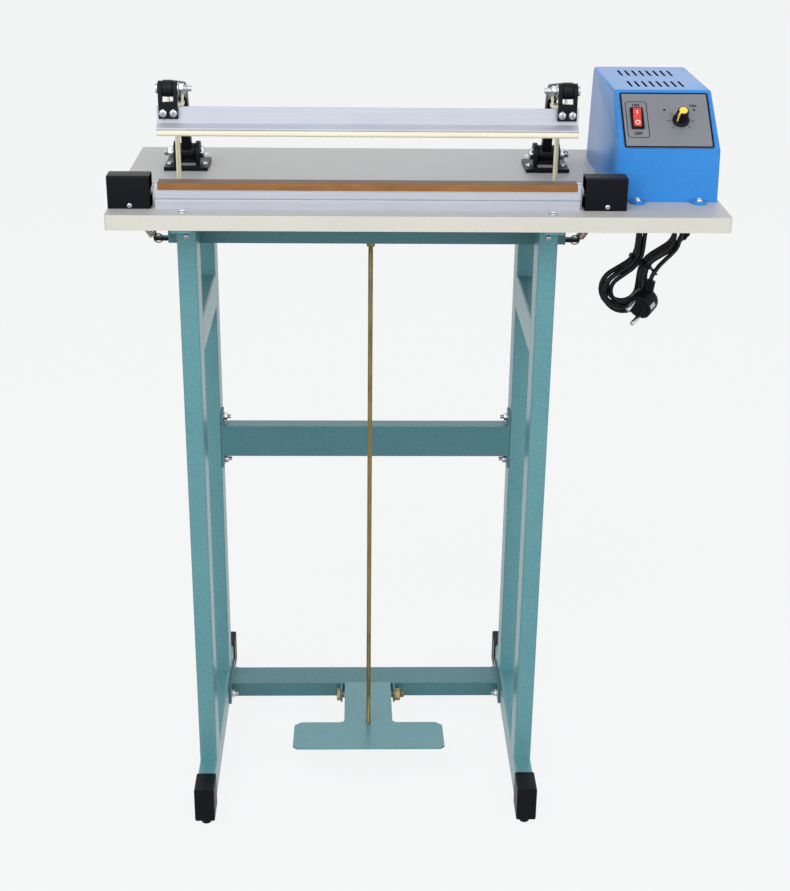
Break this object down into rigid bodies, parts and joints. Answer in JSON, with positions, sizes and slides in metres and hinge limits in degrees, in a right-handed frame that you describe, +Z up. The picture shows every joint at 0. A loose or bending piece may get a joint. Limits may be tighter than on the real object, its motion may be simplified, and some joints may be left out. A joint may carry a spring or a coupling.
{
  "type": "foot pedal impulse sealer",
  "caption": "Floor-standing impulse bag sealer: a table on tube legs carries a heated lower jaw, an upper jaw on swinging arms pulled down by a foot pedal, and a control box.",
  "frame": {"origin": "on the floor, below the middle of the whole sealer's width and depth", "axes": "+Z up, +X to the operator's right, +Y away from the operator"},
  "size_m": [0.6, 0.349, 0.815],
  "materials": {
    "hammertone_paint": "teal hammertone stove paint",
    "table_laminate": "light grey-white laminate with a cream edge",
    "black_casting": "black painted casting",
    "black_plastic": "black moulded plastic",
    "brushed_aluminium": "brushed extrusion",
    "ptfe_cloth": "brown coated glass cloth",
    "cream_rubber": "cream silicone rubber",
    "yellow_zinc": "yellow zinc plated steel",
    "bright_steel": "bright plated steel",
    "blue_plastic": "glossy blue moulded plastic",
    "panel_sheet": "printed grey panel",
    "red_plastic": "translucent red rocker",
    "circuit_board": "green circuit board",
    "transformer_iron": "laminated iron with a copper coil",
    "spring_steel": "oiled spring wire",
    "cord_plastic": "black flexible sheath"
  },
  "bodies": {
    "stand": {"table_board": "table_laminate", "left_top_strap": "hammertone_paint", "right_top_strap": "hammertone_paint", "left_front_leg": "hammertone_paint", "right_front_leg": "hammertone_paint", "left_rear_leg": "hammertone_paint", "right_rear_leg": "hammertone_paint", "left_side_rail": "hammertone_paint", "right_side_rail": "hammertone_paint", "left_base_bar": "hammertone_paint", "right_base_bar": "hammertone_paint", "left_front_cap": "black_plastic", "right_front_cap": "black_plastic", "left_rear_cap": "black_plastic", "right_rear_cap": "black_plastic", "mid_rail": "hammertone_paint", "lower_rail": "hammertone_paint", "lower_jaw_bar": "brushed_aluminium", "heating_band": "bright_steel", "ptfe_cloth": "ptfe_cloth", "left_end_cover": "black_plastic", "right_end_cover": "black_plastic", "left_heater_clip": "bright_steel", "right_heater_clip": "bright_steel", "left_pivot_bracket": "black_casting", "right_pivot_bracket": "black_casting", "left_pivot_bolt": "bright_steel", "right_pivot_bolt": "bright_steel", "left_spring_anchor": "black_casting", "right_spring_anchor": "black_casting", "left_return_spring": "spring_steel", "right_return_spring": "spring_steel", "control_housing": "blue_plastic", "control_panel": "panel_sheet", "power_switch": "black_plastic", "transformer": "transformer_iron", "timer_board": "circuit_board", "cord_gland": "black_plastic", "cord_lead": "cord_plastic", "cord_hank": "cord_plastic", "cord_tail": "cord_plastic", "plug": "cord_plastic", "cord_tie": "cord_plastic", "pedal_hinge_bolt": "yellow_zinc"},
    "pedal": {"pedal_plate": "hammertone_paint"},
    "yoke": {"yoke_beam": "hammertone_paint", "pedal_rod": "yellow_zinc"},
    "pull_rods": {"left_pull_rod": "yellow_zinc", "right_pull_rod": "yellow_zinc"},
    "arms": {"left_arm": "black_casting", "right_arm": "black_casting"},
    "jaw": {"jaw_bar": "brushed_aluminium", "jaw_rubber": "cream_rubber", "left_jaw_bracket": "black_casting", "right_jaw_bracket": "black_casting", "left_jaw_bolt": "bright_steel", "right_jaw_bolt": "bright_steel"},
    "rocker": {"power_rocker": "red_plastic"},
    "knob": {"timer_knob": "black_plastic"}
  },
  "joints": [
    {"name": "pedal_press", "type": "hinge", "parent": "stand", "child": "pedal", "pos_m": [-0.0455, 0.0645, 0.025], "axis": [1, 0, 0], "range_deg": [0, 12.2], "stiffness_Nm_per_rad": 8, "springref_deg": -34.38},
    {"name": "yoke_drop", "type": "slide", "parent": "stand", "child": "yoke", "axis": [0, 0, -1], "range_m": [0, 0.0232], "deforming": ["left_return_spring", "right_return_spring"]},
    {"name": "rod_lean", "type": "hinge", "parent": "yoke", "child": "pull_rods", "pos_m": [-0.049, -0.0415, 0.64], "axis": [1, 0, 0], "range_deg": [0, 6.5]},
    {"name": "arm_swing", "type": "hinge", "parent": "stand", "child": "arms", "pos_m": [-0.049, 0.0455, 0.713], "axis": [1, 0, 0], "range_deg": [0, 14.3]},
    {"name": "jaw_level", "type": "hinge", "parent": "arms", "child": "jaw", "pos_m": [-0.049, -0.1035, 0.807], "axis": [1, 0, 0], "range_deg": [-14.3, 0]},
    {"name": "power_rocker_tilt", "type": "hinge", "parent": "stand", "child": "rocker", "pos_m": [0.21674, -0.07295, 0.7746], "axis": [1, 0, 0], "range_deg": [-22, 0]},
    {"name": "timer_knob_turn", "type": "hinge", "parent": "stand", "child": "knob", "pos_m": [0.2599, -0.07492, 0.77355], "axis": [0, -0.6175, 0.7866], "range_deg": [-270, 0]}
  ],
  "couplings": [
    {"joint": "yoke_drop", "follows": "pedal_press", "m_per_rad": 0.108},
    {"joint": "rod_lean", "follows": "pedal_press", "ratio": 0.5276},
    {"joint": "arm_swing", "follows": "pedal_press", "ratio": 1.172},
    {"joint": "jaw_level", "follows": "pedal_press", "ratio": -1.172}
  ]
}
